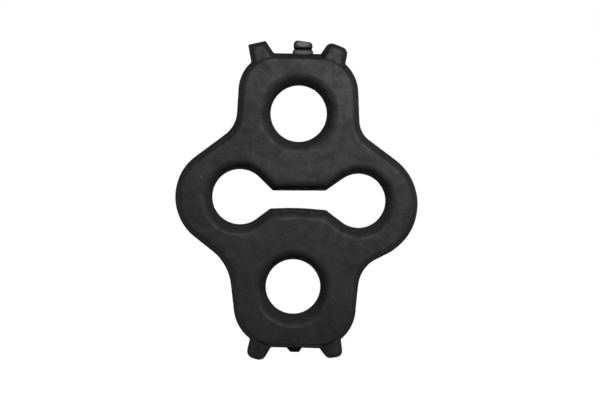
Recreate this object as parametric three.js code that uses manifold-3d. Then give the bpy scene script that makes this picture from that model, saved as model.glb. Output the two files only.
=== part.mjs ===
// Rubber exhaust hanger with four bores, moulded in one piece.
// Millimetres. X is the width, Y the thickness with the front face towards -Y, Z points up.
// The origin is the centre of the upper bore, at half thickness, where the car's hook carries it.
import * as THREE from "three";
import { mergeVertices } from "three/addons/utils/BufferGeometryUtils.js";
import Module from "manifold-3d";

const wasm = await Module();
wasm.setup();

// The block: a round lobe at each side, a squared end at the top and at the bottom
const thickness = 22;
const bodyHeight = 72.8;
const lobeRadius = 13.4;
const lobeSpacing = 33.1;
const shoulderAngle = 56;
const waistRadius = 9.6;
const endWidth = 28;
const endTaper = 4.8;
const cornerRadius = 9.4;

// Its outer wall: draft from the parting line to both faces, a rounded edge and a fine flash
const wallDraft = 7;
const faceEdge = 0.8;
const flashHeight = 0.2;
const flashWidth = 0.5;

// The upper and the lower bore, narrowest at the parting line and flared to both faces
const boreDiameter = 14;
const boreSpacing = 43.2;
const boreDraft = 5;
const boreLip = 2.3;

// The slotted opening: two side bores joined by a narrow slot with slanted throats
const sideBoreDiameter = 13.8;
const sideBoreSpacing = 29.5;
const slotHeight = 4.5;
const throatAngle = 40;
const throatRound = 0.8;
const slotLip = 1.7;
const slotShiftX = 0.6;
const slotShiftZ = 0.4;

// The corner lugs. Each was trimmed in its own way: inFromSide and rise place the middle of its tip,
// from the side of the end and over the end, width and round are the tip's, and degrees say how far
// it leans outwards and how far its inner and outer side widen to the root.
const lugDrop = 0.7;
const lugDraft = 4;
const lugEdge = 0.5;
const lugRoot = 5;
const lugs = [
  { side: -1, end: 1, inFromSide: 3.3, rise: 2.7, lean: 13.5, width: 4.1, round: 0.3, widenIn: 22, widenOut: 2 },
  { side: 1, end: 1, inFromSide: 4.2, rise: 2.3, lean: 20, width: 4.6, round: 1.7, widenIn: 15, widenOut: 11 },
  { side: -1, end: -1, inFromSide: 4.4, rise: 3, lean: 15, width: 4.2, round: 1.8, widenIn: 15, widenOut: 3 },
  { side: 1, end: -1, inFromSide: 3.6, rise: 2.3, lean: 9, width: 3.5, round: 0.9, widenIn: 29, widenOut: 1 },
];

// The tab in the middle of the top end: a sloping foot, a groove across the front, a rounded head
const tabWidth = 4.8;
const tabHeight = 3.2;
const tabShift = 0.6;
const tabFront = 1.4;
const tabDepth = 5.2;
const tabRound = 1.3;
const tabBevel = 0.7;
const footHeight = 1.1;
const footStep = 0.8;
const grooveDepth = 0.6;
const grooveWidth = 0.4;

// The stub in the middle of the bottom end
const stubWidth = 4.2;
const stubTipWidth = 2.4;
const stubHeight = 1.3;
const stubShift = 0.5;
const stubFront = 0.6;
const stubDepth = 4;

// How far roots reach into the block and cutters past it, and the fineness of round stretches
const root = 3;
const past = 1;
const facetAngle = 7.2;
const smallFacetAngle = 18;
const lipSteps = 5;
const lipEndAngle = 80;
const edgeSteps = 2;

const halfThickness = thickness / 2;
const endLevel = bodyHeight / 2;
const rad = THREE.MathUtils.degToRad;

// How far the point (x, z) lies from the origin along a direction.
function along(angle, x, z) {
  return x * Math.cos(rad(angle)) + z * Math.sin(rad(angle));
}

// The point that lies distance a along direction angleA and distance b along direction angleB.
function meet(angleA, a, angleB, b) {
  const spread = Math.sin(rad(angleB - angleA));
  const x = (a * Math.sin(rad(angleB)) - b * Math.sin(rad(angleA))) / spread;
  const z = (b * Math.cos(rad(angleA)) - a * Math.cos(rad(angleB))) / spread;
  return { x, z };
}

// The mirror image of an arc about the Z axis, drawn so that the outline still runs the same way.
function mirrored(arc) {
  return { ...arc, x: -arc.x, from: 180 - arc.to, to: 180 - arc.from };
}

function turned(arc) {
  return { ...arc, x: -arc.x, z: -arc.z, from: arc.from + 180, to: arc.to + 180 };
}

// Points round a closed outline of arcs joined by straight lines, grown outwards all round.
function ring(arcs, grow = 0) {
  const path = new THREE.Path();
  for (const { x, z, radius, from, to, hollow } of arcs) {
    path.absarc(x, z, hollow ? radius - grow : radius + grow, rad(from), rad(to), Boolean(hollow));
  }
  const rounds = path.curves.filter((curve) => curve.isEllipseCurve);
  return rounds.flatMap((curve, i) => {
    const turn = Math.abs(arcs[i].to - arcs[i].from);
    return curve.getPoints(Math.ceil(turn / (arcs[i].facet ?? facetAngle)));
  });
}

// A closed three.js geometry as a solid that can be joined and cut.
function solid(geometry) {
  geometry.deleteAttribute("normal");
  geometry.deleteAttribute("uv");
  const merged = mergeVertices(geometry);
  const mesh = new wasm.Mesh({
    numProp: 3,
    vertProperties: merged.attributes.position.array,
    triVerts: new Uint32Array(merged.index.array),
  });
  return new wasm.Manifold(mesh);
}

// A solid lofted through rings of like points, from the front ring to the back ring.
function loft(rings) {
  const count = rings[0].points.length;
  const last = (rings.length - 1) * count;
  const index = [];
  for (let row = 0; row < last; row += count) {
    for (let i = 0; i < count; i++) {
      const a = row + i;
      const b = row + ((i + 1) % count);
      index.push(a, a + count, b);
      index.push(b, a + count, b + count);
    }
  }
  for (const [a, b, c] of THREE.ShapeUtils.triangulateShape(rings[0].points, [])) {
    index.push(a, b, c);
  }
  for (const [a, b, c] of THREE.ShapeUtils.triangulateShape(rings.at(-1).points, [])) {
    index.push(last + a, last + c, last + b);
  }
  const position = rings.flatMap(({ y, points }) => points.flatMap((p) => [p.x, y, p.y]));
  const geometry = new THREE.BufferGeometry();
  geometry.setAttribute("position", new THREE.Float32BufferAttribute(position, 3));
  geometry.setIndex(index);
  return solid(geometry);
}

// A shape drawn in X and Z, extruded towards the back from the depth y.
function frontPrism(shape, y, depth) {
  const geometry = new THREE.ExtrudeGeometry(shape, { depth, bevelEnabled: false, curveSegments: 6 });
  return solid(geometry.rotateX(Math.PI / 2).translate(0, y + depth, 0));
}

// A shape drawn in Y and Z, extruded along X on both sides of the middle.
function sidePrism(shape, width) {
  const geometry = new THREE.ExtrudeGeometry(shape, { depth: width, bevelEnabled: false, curveSegments: 4 });
  geometry.translate(0, 0, -width / 2);
  return solid(geometry.rotateZ(Math.PI / 2).rotateY(Math.PI / 2));
}

// Depths and insets of an outer wall from its front face to its back face.
function wallStations(half, draft, edge) {
  const slope = Math.tan(rad(draft));
  const edgeMiddle = (half - edge) * slope + edge / Math.cos(rad(draft));
  const stations = [];
  for (let i = 0; i <= edgeSteps; i++) {
    const angle = rad(((90 - draft) * i) / edgeSteps);
    const y = half - edge + edge * Math.cos(angle);
    stations.push({ y, inset: edgeMiddle - edge * Math.sin(angle) });
  }
  stations.push({ y: flashWidth / 2, inset: (slope * flashWidth) / 2 });
  stations.push({ y: flashWidth / 4, inset: -flashHeight });
  const front = stations.map(({ y, inset }) => ({ y: -y, inset }));
  return [...front, ...stations.toReversed()];
}

// Depths and widenings of a flared opening from before the front face to behind the back face.
function mouthStations(lip) {
  const slope = Math.tan(rad(boreDraft));
  const lipMiddle = (halfThickness - lip) * slope + lip / Math.cos(rad(boreDraft));
  const stations = [];
  for (let i = 0; i <= lipSteps; i++) {
    const angle = rad(boreDraft + ((lipEndAngle - boreDraft) * i) / lipSteps);
    const y = halfThickness - lip + lip * Math.sin(angle);
    stations.push({ y, grow: lipMiddle - lip * Math.cos(angle) });
  }
  const end = stations.at(-1);
  const y = halfThickness + past;
  stations.push({ y, grow: end.grow + (y - end.y) * Math.tan(rad(lipEndAngle)) });
  const front = stations.toReversed().map((station) => ({ ...station, y: -station.y }));
  return [...front, { y: 0, grow: 0 }, ...stations];
}

// Lobe, waist and corner about the block's own middle, then the same mirrored and turned.
function block() {
  const sideDistance = along(endTaper, endWidth / 2, endLevel);
  const shoulderDistance = along(shoulderAngle, lobeSpacing / 2, 0) + lobeRadius;
  const lobe = { x: lobeSpacing / 2, z: 0, radius: lobeRadius, from: -shoulderAngle, to: shoulderAngle };
  const waist = {
    ...meet(shoulderAngle, shoulderDistance + waistRadius, endTaper, sideDistance + waistRadius),
    radius: waistRadius,
    from: shoulderAngle + 180,
    to: endTaper + 180,
    hollow: true,
  };
  const corner = {
    ...meet(endTaper, sideDistance - cornerRadius, 90, endLevel - cornerRadius),
    radius: cornerRadius,
    from: endTaper,
    to: 90,
  };
  const half = [lobe, waist, corner, mirrored(corner), mirrored(waist)];
  const arcs = [...half, ...half.map(turned)];
  const stations = wallStations(halfThickness, wallDraft, faceEdge);
  return loft(stations.map(({ y, inset }) => ({ y, points: ring(arcs, -inset) })));
}

// The outline of a lug at the top right, all its sides moved inwards by inset.
function lugArcs({ inFromSide, rise, lean, width, round, widenIn, widenOut }, inset) {
  const tip = { x: endWidth / 2 - inFromSide, z: endLevel + rise };
  const outAngle = widenOut - lean;
  const tipAngle = 90 - lean;
  const inAngle = 180 - lean - widenIn;
  const tipDistance = along(tipAngle, tip.x, tip.z);
  const across = along(-lean, tip.x, tip.z);
  const outCorner = meet(-lean, across + width / 2, tipAngle, tipDistance);
  const inCorner = meet(-lean, across - width / 2, tipAngle, tipDistance);
  const sides = [
    { angle: outAngle, distance: along(outAngle, outCorner.x, outCorner.z) },
    { angle: tipAngle, distance: tipDistance },
    { angle: inAngle, distance: along(inAngle, inCorner.x, inCorner.z) },
    { angle: tipAngle + 180, distance: lugRoot + rise - tipDistance },
    { angle: outAngle + 360, distance: along(outAngle, outCorner.x, outCorner.z) },
  ];
  const radius = Math.max(round - inset, lugEdge / 2);
  return sides.slice(1).map((side, i) => {
    const before = sides[i];
    const hold = radius + inset;
    const centre = meet(before.angle, before.distance - hold, side.angle, side.distance - hold);
    return { ...centre, radius, from: before.angle, to: side.angle, facet: smallFacetAngle };
  });
}

function lug(spec) {
  const rings = wallStations(halfThickness - lugDrop, lugDraft, lugEdge).map(({ y, inset }) => {
    const arcs = lugArcs(spec, inset);
    const placed = spec.end > 0 ? arcs : arcs.map(mirrored).map(turned).toReversed();
    const sided = spec.side > 0 ? placed : placed.map(mirrored).toReversed();
    return { y, points: ring(sided) };
  });
  return loft(rings);
}

function tab() {
  const side = tabWidth / 2;
  const front = new THREE.Shape();
  front.moveTo(-side, endLevel - root);
  front.lineTo(side, endLevel - root);
  front.absarc(side - tabRound, endLevel + tabHeight - tabRound, tabRound, 0, Math.PI / 2);
  front.absarc(tabRound - side, endLevel + tabHeight - tabRound, tabRound, Math.PI / 2, Math.PI);
  const headBottom = endLevel + footHeight + grooveWidth;
  const headTop = endLevel + tabHeight;
  const back = tabFront + tabDepth;
  const profile = new THREE.Shape();
  profile.moveTo(tabFront - footStep, endLevel - root);
  profile.lineTo(back, endLevel - root);
  profile.absarc(back - tabBevel, headTop - tabBevel, tabBevel, 0, Math.PI / 2);
  profile.absarc(tabFront + tabBevel, headTop - tabBevel, tabBevel, Math.PI / 2, Math.PI);
  profile.lineTo(tabFront, headBottom);
  profile.lineTo(tabFront + grooveDepth, headBottom - grooveWidth / 2);
  profile.lineTo(tabFront, endLevel + footHeight);
  profile.lineTo(tabFront - footStep, endLevel);
  const outline = frontPrism(front, tabFront - footStep, tabDepth + footStep);
  return outline.intersect(sidePrism(profile, tabWidth)).translate([tabShift, 0, 0]);
}

function stub() {
  const shape = new THREE.Shape();
  shape.moveTo(-stubTipWidth / 2, -endLevel - stubHeight);
  shape.lineTo(stubTipWidth / 2, -endLevel - stubHeight);
  shape.lineTo(stubWidth / 2, -endLevel);
  shape.lineTo(stubWidth / 2, root - endLevel);
  shape.lineTo(-stubWidth / 2, root - endLevel);
  shape.lineTo(-stubWidth / 2, -endLevel);
  return frontPrism(shape, stubFront, stubDepth).translate([stubShift, 0, 0]);
}

function bore(z) {
  const stations = mouthStations(boreLip);
  const profile = stations.map(({ y, grow }) => new THREE.Vector2(boreDiameter / 2 + grow, y));
  profile.unshift(new THREE.Vector2(0, stations[0].y));
  profile.push(new THREE.Vector2(0, stations.at(-1).y));
  return solid(new THREE.LatheGeometry(profile, Math.round(360 / facetAngle))).translate([0, 0, z]);
}

// The outline of the slotted opening at one depth: side bore, throat, the same mirrored and turned.
function slotArcs(grow) {
  const boreAngle = 90 + throatAngle;
  const sideBore = {
    x: sideBoreSpacing / 2,
    z: 0,
    radius: sideBoreDiameter / 2 + grow,
    from: -boreAngle,
    to: boreAngle,
  };
  const throatDistance = along(boreAngle, sideBore.x, 0) + sideBore.radius;
  const throat = {
    ...meet(boreAngle, throatDistance + throatRound, 90, slotHeight / 2 + grow + throatRound),
    radius: throatRound,
    from: boreAngle + 180,
    to: 270,
    hollow: true,
    facet: smallFacetAngle,
  };
  const half = [sideBore, throat, mirrored(throat)];
  return [...half, ...half.map(turned)];
}

function slot() {
  const rings = mouthStations(slotLip).map(({ y, grow }) => ({ y, points: ring(slotArcs(grow)) }));
  return loft(rings).translate([slotShiftX, 0, slotShiftZ]);
}

// The hanger about the block's middle, then lowered so that its upper bore is at the origin.
function hanger() {
  let rubber = block().add(tab()).add(stub());
  for (const spec of lugs) {
    rubber = rubber.add(lug(spec));
  }
  return rubber
    .subtract(slot())
    .subtract(bore(boreSpacing / 2))
    .subtract(bore(-boreSpacing / 2))
    .translate([0, 0, -boreSpacing / 2]);
}

function meshOf(made, name, material) {
  const { vertProperties, triVerts } = made.getMesh();
  const geometry = new THREE.BufferGeometry();
  geometry.setAttribute("position", new THREE.BufferAttribute(vertProperties, 3));
  geometry.setIndex(new THREE.BufferAttribute(triVerts, 1));
  geometry.computeVertexNormals();
  const mesh = new THREE.Mesh(geometry, material);
  mesh.name = name;
  return mesh;
}

const rubberBlack = new THREE.MeshStandardMaterial({ color: 0x2e2e2f, roughness: 0.6, metalness: 0 });

const part = new THREE.Group();
part.add(meshOf(hanger(), "hanger_body", rubberBlack));

export default part;
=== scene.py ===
import math
import bpy
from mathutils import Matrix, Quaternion, Vector


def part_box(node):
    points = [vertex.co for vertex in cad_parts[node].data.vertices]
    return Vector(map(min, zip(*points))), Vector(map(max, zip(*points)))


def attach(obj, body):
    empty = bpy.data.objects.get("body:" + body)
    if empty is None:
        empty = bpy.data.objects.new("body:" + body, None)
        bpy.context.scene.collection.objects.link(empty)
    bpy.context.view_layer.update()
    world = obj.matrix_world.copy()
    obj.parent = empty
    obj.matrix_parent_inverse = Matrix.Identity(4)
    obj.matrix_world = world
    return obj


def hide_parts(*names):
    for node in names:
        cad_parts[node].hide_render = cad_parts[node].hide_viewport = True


# moulded rubber exhaust hanger over a pale studio floor
# sizes are in millimetres and angles in degrees, turned into metres and radians where Blender needs them

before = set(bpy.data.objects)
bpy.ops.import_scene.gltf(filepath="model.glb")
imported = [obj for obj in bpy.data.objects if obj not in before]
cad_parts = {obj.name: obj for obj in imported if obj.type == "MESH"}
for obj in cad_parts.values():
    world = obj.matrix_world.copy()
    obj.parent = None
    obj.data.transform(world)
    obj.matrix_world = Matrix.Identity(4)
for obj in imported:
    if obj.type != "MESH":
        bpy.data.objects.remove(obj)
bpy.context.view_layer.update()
partLow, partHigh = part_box("hanger_body")

mm = 0.001
halfThickness = (partHigh.y - partLow.y) / 2 / mm
middle = Vector((0, 0, -21.6 * mm))  # middle of the block, half the bore spacing under the upper bore
near = 0.001 * mm  # points closer than this are one


# selecting and finishing

def onlySelect(obj):
    bpy.ops.object.select_all(action="DESELECT")
    obj.select_set(True)
    bpy.context.view_layer.objects.active = obj


def named(name):
    obj = bpy.context.active_object
    obj.name = obj.data.name = name
    return obj


def applyModifier(obj, kind, **values):
    onlySelect(obj)
    modifier = obj.modifiers.new(kind.title(), kind)
    for key, value in values.items():
        setattr(modifier, key, value)
    bpy.ops.object.modifier_apply(modifier=modifier.name)


def selectEdges(obj, wanted):
    bpy.ops.mesh.select_all(action="DESELECT")
    bpy.ops.object.mode_set(mode="OBJECT")
    for edge in obj.data.edges:
        a, b = (obj.data.vertices[i].co / mm for i in edge.vertices)
        edge.select = wanted(a, b)
    bpy.ops.object.mode_set(mode="EDIT")


def cutAway(obj, cutter):
    applyModifier(obj, "BOOLEAN", operation="DIFFERENCE", solver="EXACT", object=cutter)
    bpy.data.objects.remove(cutter)


# outlines of arcs joined by straight lines, drawn in X and Z about the middle of the block

def along(angle, x, z):
    return x * math.cos(math.radians(angle)) + z * math.sin(math.radians(angle))


def meet(angleA, a, angleB, b):  # where two lines cross, each given by its normal and its distance
    normalA, normalB = math.radians(angleA), math.radians(angleB)
    spread = math.sin(normalB - normalA)
    x = (a * math.sin(normalB) - b * math.sin(normalA)) / spread
    z = (b * math.cos(normalA) - a * math.cos(normalB)) / spread
    return {"x": x, "z": z}


def mirrored(arc):
    return {**arc, "x": -arc["x"], "start": 180 - arc["end"], "end": 180 - arc["start"]}


def turned(arc):
    return {**arc, "x": -arc["x"], "z": -arc["z"], "start": arc["start"] + 180, "end": arc["end"] + 180}


def onArc(arc, angle):
    x = arc["x"] + arc["radius"] * math.cos(math.radians(angle))
    z = arc["z"] + arc["radius"] * math.sin(math.radians(angle))
    return Vector((x, 0, z)) * mm


def drawOutline(name, arcs, stepAngle):  # a vertex is spun round each arc and extruded to the next
    bpy.ops.mesh.primitive_plane_add(size=mm)
    bpy.ops.object.mode_set(mode="EDIT")
    bpy.ops.mesh.select_all(action="SELECT")
    bpy.ops.mesh.merge(type="CENTER")
    bpy.ops.transform.translate(value=onArc(arcs[0], arcs[0]["start"]))
    for arc, following in zip(arcs, arcs[1:] + arcs[:1]):
        turn = arc["end"] - arc["start"]
        if turn:
            centre = Vector((arc["x"], 0, arc["z"])) * mm
            steps = math.ceil(abs(turn) / stepAngle)
            bpy.ops.mesh.spin(steps=steps, angle=math.radians(turn), center=centre, axis=(0, 1, 0))
        run = onArc(following, following["start"]) - onArc(arc, arc["end"])
        bpy.ops.mesh.extrude_vertices_move(TRANSFORM_OT_translate={"value": run})
    bpy.ops.mesh.select_all(action="SELECT")
    bpy.ops.mesh.remove_doubles(threshold=10 * near)
    bpy.ops.mesh.edge_face_add()
    bpy.ops.object.mode_set(mode="OBJECT")
    obj = named(name)
    if obj.data.polygons[0].normal.y > 0:  # the outline faces the front
        obj.data.flip_normals()
    return obj


# steps of a section as (y, inwards), each taken with inset from the one before

def insetSteps(obj, stations):
    leastInset = near / 10  # inset makes no wall where it moves nothing inwards
    bpy.ops.object.mode_set(mode="EDIT")
    bpy.ops.mesh.select_all(action="SELECT")
    for (y, inwards), (nextY, nextInwards) in zip(stations, stations[1:]):
        thickness = max((nextInwards - inwards) * mm, leastInset)
        bpy.ops.mesh.inset(thickness=thickness, depth=(y - nextY) * mm, use_even_offset=True)


def walled(obj, half, draft, edge, flash):  # both halves of a drafted body, from its outline at half depth
    slope = math.tan(math.radians(draft))
    edgeMiddle = (half - edge) * slope + edge / math.cos(math.radians(draft))
    stations = [(0, -flash["height"])]
    if flash["height"]:
        stations.append((-flash["width"] / 4, -flash["height"]))
        stations.append((-flash["width"] / 2, slope * flash["width"] / 2))
    for i in range(flash["edgeSteps"] + 1):
        angle = math.radians((90 - draft) * (1 - i / flash["edgeSteps"]))
        stations.append((-(half - edge + edge * math.cos(angle)), edgeMiddle - edge * math.sin(angle)))
    insetSteps(obj, stations)
    bpy.ops.object.mode_set(mode="OBJECT")
    applyModifier(obj, "MIRROR", use_axis=(False, True, False), merge_threshold=near)
    return obj


def grownArcs(arcs, grow):  # the same outline, moved outwards all round
    grown = []
    for arc in arcs:
        hollow = arc["end"] < arc["start"]
        grown.append({**arc, "radius": arc["radius"] + (-grow if hollow else grow)})
    return grown


parting = {"height": 0.31, "width": 0.7, "edgeSteps": 5}  # the fine flash where the mould parts

# the four quarters differ a little, as the soft part came out of its mould
block = {  # the lobes are (x, z, radius) by side, the ends are heights above and below the middle
    "lobes": {1: (16.35, -0.4, 13.5), -1: (17.55, 0.65, 12.35)},
    "ends": {1: 36.4, -1: 36.25},
    "topRight": {"shoulder": 54.2, "waist": 6.3, "taper": 3.4, "half": 13.95, "corner": 9.5},
    "topLeft": {"shoulder": 52.1, "waist": 7.4, "taper": 2.3, "half": 14.4, "corner": 9},
    "bottomLeft": {"shoulder": 52.6, "waist": 12.4, "taper": 7.7, "half": 13.55, "corner": 10.2},
    "bottomRight": {"shoulder": 61.8, "waist": 8.3, "taper": 4.6, "half": 14.3, "corner": 9.7},
    "draft": 7, "edge": 0.6, "stepAngle": 2.5,
}
endLevel = block["ends"][1]


def quarterArcs(quarter, side, end):  # waist and corner, drawn at the upper right and turned to their place
    lobeX, lobeZ, lobeRadius = block["lobes"][side]
    shoulder, taper, level = quarter["shoulder"], quarter["taper"], block["ends"][end]
    waist, corner = quarter["waist"], quarter["corner"]
    shoulderDistance = along(shoulder, lobeX, end * lobeZ) + lobeRadius
    sideDistance = along(taper, quarter["half"], level)
    waistArc = meet(shoulder, shoulderDistance + waist, taper, sideDistance + waist)
    waistArc.update(radius=waist, start=shoulder + 180, end=taper + 180)
    cornerArc = meet(taper, sideDistance - corner, 90, level - corner)
    cornerArc.update(radius=corner, start=taper, end=90)
    arcs = [waistArc, cornerArc]
    if end < 0:
        arcs = [turned(mirrored(arc)) for arc in reversed(arcs)]
    if side < 0:
        arcs = [mirrored(arc) for arc in reversed(arcs)]
    return arcs


def lobeArc(side, startAngle, endAngle):
    x, z, radius = block["lobes"][side]
    return {"x": side * x, "z": z, "radius": radius, "start": startAngle, "end": endAngle}


def makeBlock():
    topRight, topLeft = block["topRight"], block["topLeft"]
    bottomLeft, bottomRight = block["bottomLeft"], block["bottomRight"]
    arcs = [lobeArc(1, -bottomRight["shoulder"], topRight["shoulder"])]
    arcs += quarterArcs(topRight, 1, 1) + quarterArcs(topLeft, -1, 1)
    arcs += [lobeArc(-1, 180 - topLeft["shoulder"], 180 + bottomLeft["shoulder"])]
    arcs += quarterArcs(bottomLeft, -1, -1) + quarterArcs(bottomRight, 1, -1)
    outline = drawOutline("hangerRubber", grownArcs(arcs, parting["height"]), block["stepAngle"])
    return walled(outline, halfThickness, block["draft"], block["edge"], parting)


# flared openings: from beyond the front face inwards to the narrowest place at half thickness
mouth = {"draft": 5, "lipEndAngle": 84, "lipSteps": 14, "lipDepth": 1.75, "past": 1}


def mouthStations(lip):  # an oval lip, deeper than it is wide, so that it turns in early
    slope, deep = math.tan(math.radians(mouth["draft"])), lip * mouth["lipDepth"]
    start = math.atan(slope * mouth["lipDepth"])
    end = math.radians(mouth["lipEndAngle"])
    lipMiddle = (halfThickness - deep) * slope + lip * math.cos(start) + deep * math.sin(start) * slope
    stations = [(0, 0)]
    for i in range(mouth["lipSteps"] + 1):
        angle = start + (end - start) * i / mouth["lipSteps"]
        stations.append((halfThickness - deep + deep * math.sin(angle), lipMiddle - lip * math.cos(angle)))
    y, grow = stations[-1]
    out = halfThickness + mouth["past"]
    stations.append((out, grow + (out - y) * math.tan(end) / mouth["lipDepth"]))
    return [(-y, grow) for y, grow in reversed(stations)]


def hollowed(obj, stations):
    insetSteps(obj, [(y, -grow) for y, grow in stations])
    bpy.ops.mesh.delete(type="ONLY_FACE")
    bpy.ops.object.mode_set(mode="OBJECT")
    applyModifier(obj, "MIRROR", use_axis=(False, True, False), merge_threshold=near)
    bpy.ops.object.mode_set(mode="EDIT")
    bpy.ops.mesh.select_all(action="SELECT")
    bpy.ops.mesh.fill_holes(sides=0)
    bpy.ops.mesh.select_all(action="SELECT")
    bpy.ops.mesh.normals_make_consistent(inside=False)
    bpy.ops.object.mode_set(mode="OBJECT")
    return obj


bores = {"lip": 2.3, "sides": 120, "places": [(0.05, 21.75, 6.96), (-0.4, -21.25, 6.76)]}


def makeBore(x, z, radius):
    stations = mouthStations(bores["lip"])
    outY, outGrow = stations[0]
    bpy.ops.mesh.primitive_circle_add(
        vertices=bores["sides"], radius=(radius + outGrow) * mm, fill_type="NGON",
        location=Vector((x, outY, z)) * mm, rotation=(math.pi / 2, 0, 0))
    bpy.ops.object.transform_apply(location=True, rotation=True, scale=True)
    return hollowed(named("boreCutter"), stations)


# two round ends, joined by a gap with a straight roof and a crowned floor
slot = {
    "right": {"x": 15.36, "z": 0.45, "radius": 6.7, "roof": 2.72, "roofThroat": 36, "floorThroat": 36},
    "left": {"x": 14.1, "z": 0.8, "radius": 6.83, "roof": 2.56, "roofThroat": 43.5, "floorThroat": 38},
    "crown": -1.64, "crownRadius": 57, "throatChamfer": 0.2, "chamferSteps": 4, "chamferFrom": 20,
    "lip": 1.9, "stepAngle": 3,
}


def makeSlot():
    stations = mouthStations(slot["lip"])
    outY, outGrow = stations[0]
    crown = {"x": 0, "z": slot["crown"] - slot["crownRadius"], "radius": slot["crownRadius"] - outGrow}

    def slotEnd(end):  # drawn on the right, with the angle at which its floor throat meets the crown
        x, z, radius = end["x"], end["z"], end["radius"] + outGrow
        roofWall, floorWall = 90 + end["roofThroat"], -90 - end["floorThroat"]
        arc = {"x": x, "z": z, "radius": radius, "start": floorWall, "end": roofWall}
        corner = meet(roofWall, along(roofWall, x, z) + radius, 90, end["roof"] + outGrow)
        corner.update(radius=0, start=0, end=0)
        reach = along(floorWall, x, z) + radius - along(floorWall, crown["x"], crown["z"])
        crownAngle = floorWall + 360 - math.degrees(math.acos(reach / crown["radius"]))
        return arc, corner, crownAngle

    arc, corner, crownEnd = slotEnd(slot["right"])
    leftArc, leftCorner, leftCrownEnd = slotEnd(slot["left"])
    crown.update(start=180 - leftCrownEnd, end=crownEnd)
    outline = [arc, corner, mirrored(leftCorner), mirrored(leftArc), crown]
    cutter = drawOutline("slotCutter", outline, slot["stepAngle"])
    cutter.location.y = outY * mm
    onlySelect(cutter)
    bpy.ops.object.transform_apply(location=True, rotation=True, scale=True)
    hollowed(cutter, stations)
    applyModifier(cutter, "BEVEL", width=slot["throatChamfer"] * mm, segments=slot["chamferSteps"],
                  limit_method="ANGLE", angle_limit=math.radians(slot["chamferFrom"]))
    return cutter


# corner lugs, placed from the sides and the ends of the block and trimmed each in its own way
lug = {"blockHalf": 14, "drop": 0.7, "draft": 5.6, "edge": 0.4, "root": 5, "stepAngle": 12}
lugs = [
    {"name": "lugTopLeft", "side": -1, "end": 1, "inFromSide": 3.25, "rise": 2.75, "lean": 13.5,
     "width": 4.5, "round": 0, "widenIn": 22, "widenOut": 2},
    {"name": "lugTopRight", "side": 1, "end": 1, "inFromSide": 4.4, "rise": 2.5, "lean": 20,
     "width": 5.1, "round": 1.7, "widenIn": 13, "widenOut": 11},
    {"name": "lugBottomLeft", "side": -1, "end": -1, "inFromSide": 4.3, "rise": 3.1, "lean": 15,
     "width": 4.4, "round": 1.9, "widenIn": 15, "widenOut": 3},
    {"name": "lugBottomRight", "side": 1, "end": -1, "inFromSide": 3.5, "rise": 2.35, "lean": 9,
     "width": 4, "round": 1.6, "widenIn": 29, "widenOut": 1},
]


def makeLug(spec):
    lean, half = spec["lean"], spec["width"] / 2
    tipX, tipZ = lug["blockHalf"] - spec["inFromSide"], endLevel + spec["rise"]
    tipAngle = 90 - lean
    tipDistance, across = along(tipAngle, tipX, tipZ), along(-lean, tipX, tipZ)
    outer, inner = (meet(-lean, across + way * half, tipAngle, tipDistance) for way in (1, -1))
    outAngle, inAngle = spec["widenOut"] - lean, 180 - lean - spec["widenIn"]
    outDistance, inDistance = along(outAngle, **outer), along(inAngle, **inner)
    sides = [
        (outAngle, outDistance), (tipAngle, tipDistance), (inAngle, inDistance),
        (tipAngle + 180, lug["root"] + spec["rise"] - tipDistance), (outAngle + 360, outDistance),
    ]
    arcs = []
    for i, ((angle, distance), (nextAngle, nextDistance)) in enumerate(zip(sides, sides[1:])):
        radius = spec["round"] if i < 2 else 0  # only the tip's two corners are round
        corner = meet(angle, distance - radius, nextAngle, nextDistance - radius)
        corner.update(radius=radius, start=angle, end=nextAngle if radius else angle)
        arcs.append(corner)
    if spec["end"] < 0:
        arcs = [turned(mirrored(arc)) for arc in reversed(arcs)]
    if spec["side"] < 0:
        arcs = [mirrored(arc) for arc in reversed(arcs)]
    outline = drawOutline(spec["name"], arcs, lug["stepAngle"])
    return walled(outline, halfThickness - lug["drop"], lug["draft"], lug["edge"], parting)


# a moulding nub in the middle of the top edge: a pillow-shaped head over a short sloping foot
tab = {
    "left": -1.6, "right": 3.15, "topLeft": 3.75, "topRight": 3.2, "bottom": 1.7, "leftRound": 1,
    "rightRound": 1.05, "bottomRound": 0.43, "front": 0.9, "depth": 5.2, "edge": 0.4, "stepAngle": 10,
    "footLeft": -1.8, "footRight": 3.3, "footHeight": 1.15, "footStep": 0.8,
    "neckSet": 0.15, "neckInHead": 1, "groove": 2.2, "root": 3,
}
tabFlash = {"height": 0, "edgeSteps": 4}


def addBox(name, low, high):
    size = [b - a for a, b in zip(low, high)]
    centre = Vector([(a + b) / 2 for a, b in zip(low, high)]) * mm
    bpy.ops.mesh.primitive_cube_add(size=mm, location=centre, scale=size)
    bpy.ops.object.transform_apply(location=True, rotation=True, scale=True)
    return named(name)


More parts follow.
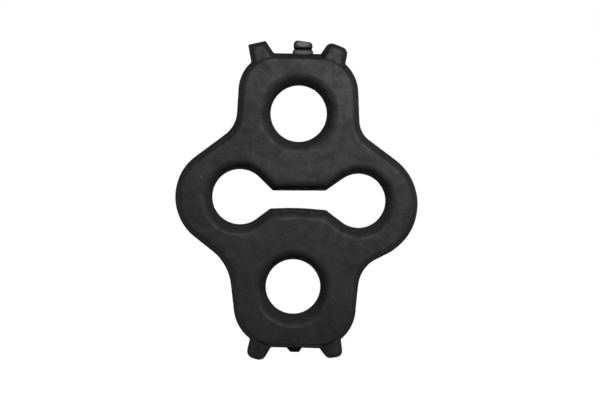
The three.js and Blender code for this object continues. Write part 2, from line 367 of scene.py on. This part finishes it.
def makeTab():
    lean = math.degrees(math.atan2(tab["topLeft"] - tab["topRight"], tab["right"] - tab["left"]))
    topDistance = along(90 - lean, tab["left"], endLevel + tab["topLeft"])
    sides = [
        (0, tab["right"], "rightRound"), (90 - lean, topDistance, "leftRound"),
        (180, -tab["left"], "bottomRound"), (270, -endLevel - tab["bottom"], "bottomRound"),
    ]
    arcs = []
    for (angle, distance, key), (nextAngle, nextDistance, _) in zip(sides, sides[1:] + sides[:1]):
        radius = tab[key]
        corner = meet(angle, distance - radius, nextAngle, nextDistance - radius)
        corner.update(radius=radius, start=angle, end=nextAngle if nextAngle > angle else nextAngle + 360)
        arcs.append(corner)
    head = drawOutline("tab", arcs, tab["stepAngle"])
    walled(head, tab["depth"] / 2, 0, tab["edge"], tabFlash)
    head.location.y = (tab["front"] + tab["depth"] / 2) * mm

    inset, back, low = tab["neckSet"], tab["front"] + tab["depth"], endLevel - tab["root"]
    neckTop = endLevel + tab["bottom"] + tab["neckInHead"]
    neckLow = (tab["left"] + inset, tab["front"] + tab["groove"], low)
    neck = addBox("tabNeck", neckLow, (tab["right"] - inset, back - inset, neckTop))
    footFront, footTop = tab["front"] - tab["footStep"], endLevel + tab["footHeight"]
    foot = addBox("tabFoot", (tab["footLeft"], footFront, low), (tab["footRight"], back, footTop))
    bpy.ops.object.mode_set(mode="EDIT")
    selectEdges(foot, lambda a, b: min(a.z, b.z) > endLevel and max(a.y, b.y) < tab["front"])
    bpy.ops.mesh.bevel(offset=tab["footStep"] * mm, segments=1, affect="EDGES")
    bpy.ops.object.mode_set(mode="OBJECT")
    return [head, neck, foot]


# a small stub in the middle of the bottom edge, narrower at its tip
stub = {
    "width": 4.2, "tipLeft": -0.9, "tipRight": 1.3, "height": 1.3, "shift": 0.2,
    "front": 0.6, "depth": 4, "root": 3,
}


def makeStub():
    side = stub["width"] / 2
    low, high = -endLevel - stub["height"], stub["root"] - endLevel
    tipLevel = low + stub["height"] / 2
    obj = addBox("stub", (-side, stub["front"], low), (side, stub["front"] + stub["depth"], high))
    bpy.ops.object.mode_set(mode="EDIT")
    bpy.ops.mesh.select_all(action="SELECT")
    bpy.ops.mesh.bisect(plane_co=(0, 0, -endLevel * mm), plane_no=(0, 0, 1))
    for way, tip in ((-1, stub["tipLeft"]), (1, stub["tipRight"])):
        selectEdges(obj, lambda a, b: max(a.z, b.z) < tipLevel and min(a.x * way, b.x * way) > 0)
        bpy.ops.transform.translate(value=((tip - way * side) * mm, 0, 0))
    bpy.ops.object.mode_set(mode="OBJECT")
    obj.location.x += stub["shift"] * mm
    return obj


# one skin over the joined shapes, with the soft inner corners of a moulding
skin = {
    "voxel": 0.15, "quickVoxel": 0.3, "relax": 6, "relaxShare": 0.5, "faces": 185000, "quickFaces": 90000,
    "waveSize": 6, "waveHeight": 0.09,
}


def makeHanger():
    hanger = makeBlock()
    print("block lofted")
    slotCutter = makeSlot()
    cutAway(hanger, slotCutter)
    for place in bores["places"]:
        cutAway(hanger, makeBore(*place))
    print("bores and slot cut")
    extras = [makeLug(spec) for spec in lugs] + makeTab() + [makeStub()]
    onlySelect(hanger)
    for obj in extras:
        obj.select_set(True)
    bpy.ops.object.join()
    hanger.location = middle
    bpy.ops.object.transform_apply(location=True, rotation=True, scale=True)
    print("lugs, tab and stub joined")
    applyModifier(hanger, "REMESH", mode="VOXEL", voxel_size=skin["voxel"] * mm)
    applyModifier(hanger, "SMOOTH", factor=skin["relaxShare"], iterations=skin["relax"])
    waves = bpy.data.textures.new("unevenSkin", "CLOUDS")
    waves.noise_scale = skin["waveSize"] * mm
    waveHeight = skin["waveHeight"] * mm
    applyModifier(hanger, "DISPLACE", texture=waves, texture_coords="LOCAL", strength=waveHeight)
    triangles = 2 * len(hanger.data.polygons)  # the remesh leaves four-sided faces
    wanted = skin["faces"]
    applyModifier(hanger, "DECIMATE", ratio=min(1, wanted / triangles))
    bpy.ops.object.shade_smooth()
    print("skin of", len(hanger.data.polygons), "faces")
    return hanger


rubber = {
    "dark": (0.014, 0.014, 0.0145), "light": (0.0285, 0.0285, 0.029),
    "gloss": 0.17, "dull": 0.66, "sheeny": 0.48,
    "patchSize": 9, "patchDetail": 2, "patchRange": (0.35, 0.65),
    "mottleSize": 1.9, "mottleDetail": 4, "mottleRange": (0.36, 0.64), "mottleShare": 0.6,
    "speckSpacing": 5, "speckSize": 0.055, "speckCore": 0.0275, "speckColour": (0.12, 0.12, 0.115),
    "dents": [(1.3, 0.06), (0.6, 0.04), (0.25, 0.025)], "dentDetail": 2,  # dents are (size, height)
}
# painted highlights, paler than the rubber, where the tab's head face and sloping foot catch the light,
# each place with its half sizes
paintedTabHighlights = {
    "places": [((0.8, 0.9, 39.2), (1.85, 0.5, 0.85)), ((0.75, 0.4, 37.1), (2.7, 1.3, 0.85))],
    "colour": (0.12, 0.12, 0.118), "fade": 0.65,
}


def makeRubberFinish():
    material = bpy.data.materials.new("moulded rubber")
    material.use_nodes = True
    nodes, links = material.node_tree.nodes, material.node_tree.links
    surface = nodes["Principled BSDF"]
    surface.inputs["Metallic"].default_value = 0
    surface.inputs["Specular IOR Level"].default_value = rubber["gloss"]
    place = nodes.new("ShaderNodeTexCoord").outputs["Object"]

    def spread(value, low, high):  # stretches low..high to 0..1
        stretch = nodes.new("ShaderNodeMapRange")
        stretch.inputs["From Min"].default_value = low
        stretch.inputs["From Max"].default_value = high
        links.new(value, stretch.inputs["Value"])
        return stretch.outputs["Result"]

    def noise(size, detail):  # cloudy pattern of a size in mm
        cloud = nodes.new("ShaderNodeTexNoise")
        cloud.inputs["Scale"].default_value = 1 / (size * mm)
        cloud.inputs["Detail"].default_value = detail
        links.new(place, cloud.inputs["Vector"])
        return cloud.outputs["Fac"]

    def blend(factor, a, b, kind="FLOAT"):
        mix = nodes.new("ShaderNodeMix")
        mix.data_type = kind
        for value, name in ((factor, "Factor"), (a, "A"), (b, "B")):
            socket = next(s for s in mix.inputs if s.name == name and s.enabled)
            if isinstance(value, bpy.types.NodeSocket):
                links.new(value, socket)
            else:
                socket.default_value = value
        return next(s for s in mix.outputs if s.enabled)

    def nearness(centre, halfSize):  # 1 in the heart of a painted highlight, 0 outside it
        away = nodes.new("ShaderNodeVectorMath")
        away.operation = "SUBTRACT"
        links.new(place, away.inputs[0])
        away.inputs[1].default_value = middle + Vector(centre) * mm
        scaled = nodes.new("ShaderNodeVectorMath")
        scaled.operation = "DIVIDE"
        links.new(away.outputs["Vector"], scaled.inputs[0])
        scaled.inputs[1].default_value = Vector(halfSize) * mm
        length = nodes.new("ShaderNodeVectorMath")
        length.operation = "LENGTH"
        links.new(scaled.outputs["Vector"], length.inputs[0])
        return spread(length.outputs["Value"], 1, paintedTabHighlights["fade"])

    patches = spread(noise(rubber["patchSize"], rubber["patchDetail"]), *rubber["patchRange"])
    mottle = spread(noise(rubber["mottleSize"], rubber["mottleDetail"]), *rubber["mottleRange"])
    worn = blend(rubber["mottleShare"], patches, mottle)  # where the skin is lighter and has more sheen
    shade = blend(worn, (*rubber["dark"], 1), (*rubber["light"], 1), "RGBA")
    links.new(blend(worn, rubber["dull"], rubber["sheeny"]), surface.inputs["Roughness"])

    cells = nodes.new("ShaderNodeTexVoronoi")  # a few specks of dust
    cells.inputs["Scale"].default_value = 1 / (rubber["speckSpacing"] * mm)
    links.new(place, cells.inputs["Vector"])
    speck = spread(cells.outputs["Distance"], rubber["speckSize"], rubber["speckCore"])
    shade = blend(speck, shade, (*rubber["speckColour"], 1), "RGBA")
    # painted highlights on the lit front of the tab's head and on its sloping foot
    for centre, halfSize in paintedTabHighlights["places"]:
        shade = blend(nearness(centre, halfSize), shade, (*paintedTabHighlights["colour"], 1), "RGBA")
    links.new(shade, surface.inputs["Base Color"])

    normal = None
    for size, height in rubber["dents"]:
        bump = nodes.new("ShaderNodeBump")
        bump.inputs["Distance"].default_value = height * mm
        links.new(noise(size, rubber["dentDetail"]), bump.inputs["Height"])
        if normal:
            links.new(normal, bump.inputs["Normal"])
        normal = bump.outputs["Normal"]
    links.new(normal, surface.inputs["Normal"])
    return material


floorPlan = {  # the drop in mm, the size and the radii in metres
    "size": 4, "drop": 90, "colour": (0.7, 0.7, 0.7),
    "whiteNear": 0.62, "whiteFar": 0.96, "nearRadius": 0.08, "farRadius": 0.36,
}


def makeFloor():  # white to the camera, less so under the hanger, where its shadow falls
    floorZ = partLow.z - floorPlan["drop"] * mm
    bpy.ops.mesh.primitive_plane_add(size=floorPlan["size"], location=(0, 0, floorZ))
    floor = named("studioFloor")
    material = bpy.data.materials.new("pale floor")
    material.use_nodes = True
    nodes, links = material.node_tree.nodes, material.node_tree.links
    surface = nodes["Principled BSDF"]
    surface.inputs["Base Color"].default_value = (*floorPlan["colour"], 1)
    surface.inputs["Roughness"].default_value = 1
    surface.inputs["Specular IOR Level"].default_value = 0
    surface.inputs["Emission Color"].default_value = (1, 1, 1, 1)
    place = nodes.new("ShaderNodeTexCoord")
    away = nodes.new("ShaderNodeVectorMath")
    away.operation = "LENGTH"
    links.new(place.outputs["Object"], away.inputs["Vector"])
    white = nodes.new("ShaderNodeMapRange")
    white.interpolation_type = "SMOOTHSTEP"
    white.inputs["From Min"].default_value = floorPlan["nearRadius"]
    white.inputs["From Max"].default_value = floorPlan["farRadius"]
    white.inputs["To Min"].default_value = floorPlan["whiteNear"]
    white.inputs["To Max"].default_value = floorPlan["whiteFar"]
    links.new(away.outputs["Value"], white.inputs["Value"])
    path = nodes.new("ShaderNodeLightPath")
    toCamera = nodes.new("ShaderNodeMath")
    toCamera.operation = "MULTIPLY"
    links.new(white.outputs["Result"], toCamera.inputs[0])
    links.new(path.outputs["Is Camera Ray"], toCamera.inputs[1])
    links.new(toCamera.outputs["Value"], surface.inputs["Emission Strength"])
    floor.data.materials.append(material)


studio = {"around": 0.1}  # white to the camera, this grey to all else
lamps = [
    {"name": "softboxKey", "place": (26, -118, 57),
     "width": 60, "height": 24, "spread": 150, "energy": 0.116},
    {"name": "softboxBack", "place": (0, 800, 0),
     "width": 60, "height": 60, "spread": 30, "energy": 0.14},
    {"name": "softboxLeft", "place": (-420, -30, 10),
     "width": 200, "height": 200, "spread": 60, "energy": 0.068},
    {"name": "softboxRight", "place": (420, -30, 10),
     "width": 200, "height": 200, "spread": 60, "energy": 0.068},
]


def makeLights():
    world = bpy.data.worlds.new("studio")
    bpy.context.scene.world = world
    world.use_nodes = True
    nodes, links = world.node_tree.nodes, world.node_tree.links
    background = nodes["Background"]
    background.inputs["Color"].default_value = (1, 1, 1, 1)
    path = nodes.new("ShaderNodeLightPath")
    level = nodes.new("ShaderNodeMapRange")
    level.inputs["To Min"].default_value = studio["around"]
    level.inputs["To Max"].default_value = 1
    links.new(path.outputs["Is Camera Ray"], level.inputs["Value"])
    links.new(level.outputs["Result"], background.inputs["Strength"])
    for spec in lamps:
        bpy.ops.object.light_add(type="AREA", location=middle + Vector(spec["place"]) * mm)
        lamp = bpy.context.active_object
        lamp.name = lamp.data.name = spec["name"]
        lamp.data.shape = "RECTANGLE"
        lamp.data.size = spec["width"] * mm
        lamp.data.size_y = spec["height"] * mm
        lamp.data.energy = spec["energy"]
        lamp.data.spread = math.radians(spec["spread"])
        lamp.visible_camera = False
        lamp.rotation_mode = "QUATERNION"
        lamp.rotation_quaternion = (middle - lamp.location).to_track_quat("-Z", "Y")


view = {
    "lens": 120.6, "sensor": 36, "nearest": 10, "distance": 500,
    "eyeX": -1.5, "eyeOverMiddle": 12, "aimX": 0.86, "aimZ": 0.32, "roll": 1.3,
}


def makeCamera():
    eye = Vector((view["eyeX"], -view["distance"], view["eyeOverMiddle"])) * mm
    bpy.ops.object.camera_add(location=middle + eye)
    camera = bpy.context.active_object
    camera.name = "photoCamera"
    camera.data.lens = view["lens"]
    camera.data.sensor_width = view["sensor"]
    aim = middle + Vector((view["aimX"], 0, view["aimZ"])) * mm
    camera.rotation_mode = "QUATERNION"
    look = (aim - camera.location).to_track_quat("-Z", "Y")
    camera.rotation_quaternion = look @ Quaternion((0, 0, 1), math.radians(view["roll"]))
    camera.data.clip_start = view["nearest"] * mm
    bpy.context.scene.camera = camera


hanger = makeHanger()
hanger.data.materials.clear()
hanger.data.materials.append(makeRubberFinish())
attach(hanger, "root")
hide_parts("hanger_body")
print("rubber finish on")
makeFloor()
print("floor laid")
makeLights()
print("lamps set")
makeCamera()
bpy.context.scene.view_settings.view_transform = "Standard"
print("camera set")
